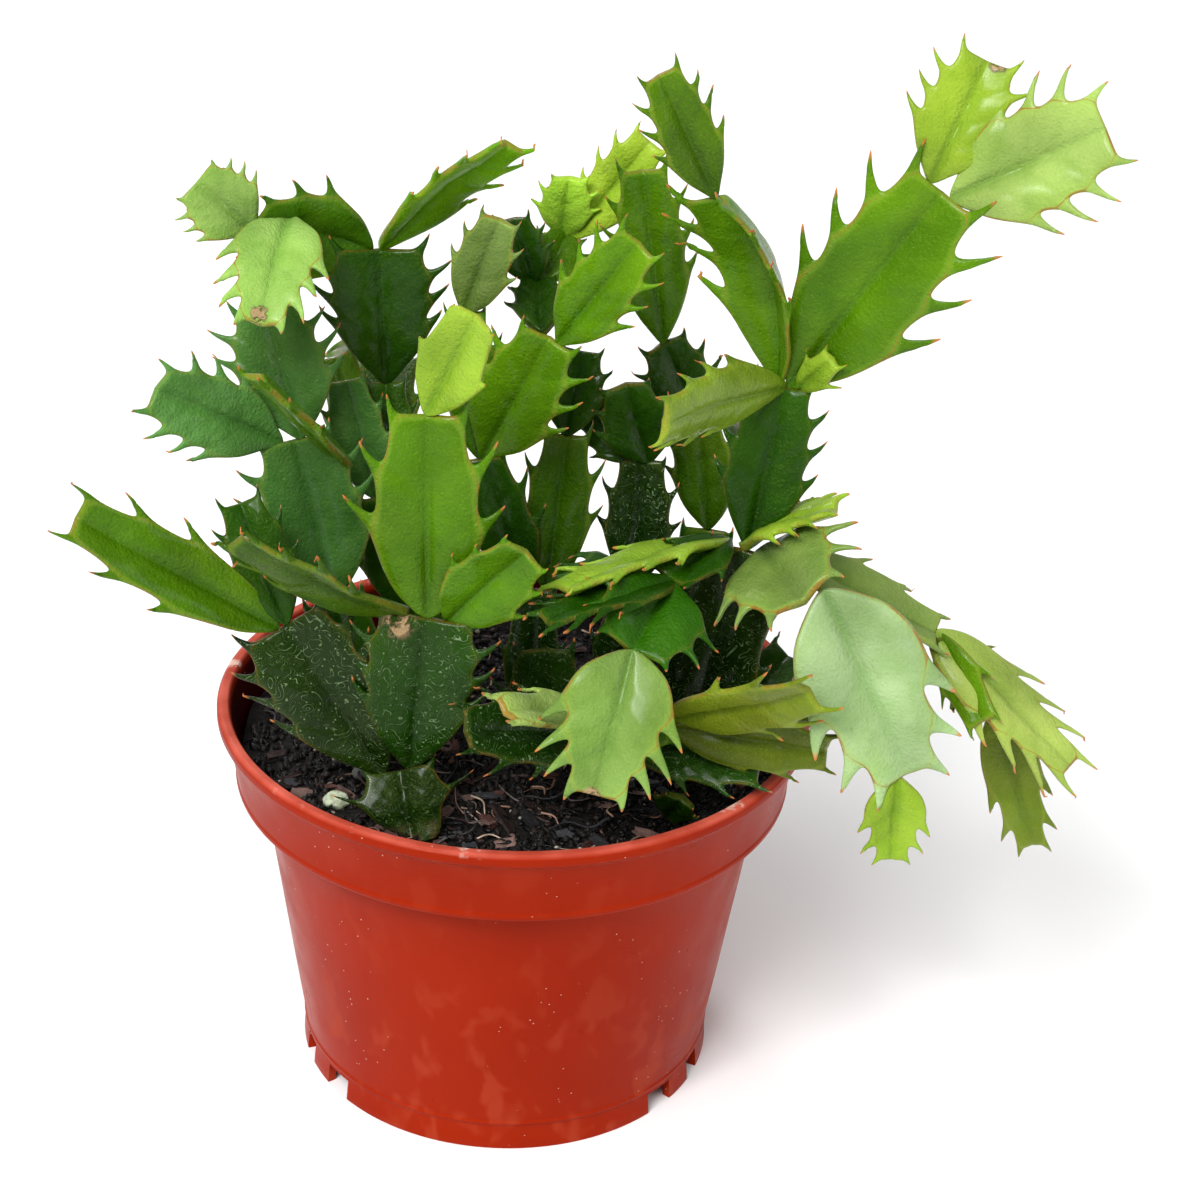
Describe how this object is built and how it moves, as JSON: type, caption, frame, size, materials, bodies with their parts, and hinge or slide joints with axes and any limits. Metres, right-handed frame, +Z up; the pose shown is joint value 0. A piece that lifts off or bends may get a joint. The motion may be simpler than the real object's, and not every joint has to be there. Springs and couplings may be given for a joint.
{
  "type": "potted christmas cactus",
  "caption": "Bushy holiday cactus with flat, hook-toothed leafy segments on arching stems, rooted in soil in a round plastic nursery pot.",
  "frame": {"origin": "on the pot's axis, level with the surface that the pot stands on", "axes": "+Z up, +X to the right and -Y to the front, the side that shows the plant best"},
  "size_m": [0.1972, 0.1205, 0.2226],
  "materials": {
    "pot_plastic": "orange-red injection-moulded plastic, slightly glossy, with faint water marks",
    "potting_soil": "damp, nearly black peat and bark",
    "pale_stone": "dull pale pebble",
    "grey_stone": "dull grey pebble",
    "leaf_bright": "smooth waxy plant skin, bright green",
    "leaf_mid": "smooth waxy plant skin, mid green",
    "leaf_dark": "old waxy plant skin, dark green with pale hard-water streaks"
  },
  "bodies": {
    "root": {"pot": "pot_plastic", "soil": "potting_soil", "stone_pale": "pale_stone", "stone_grey": "grey_stone", "stem_front_left": "leaf_bright", "stem_left": "leaf_mid", "stem_back_left": "leaf_mid", "stem_centre": "leaf_mid", "stem_middle": "leaf_dark", "stem_back_right": "leaf_mid", "stem_right": "leaf_bright", "stem_front_right": "leaf_dark", "stem_stump": "leaf_dark", "stem_seedling": "leaf_dark"}
  },
  "joints": []
}
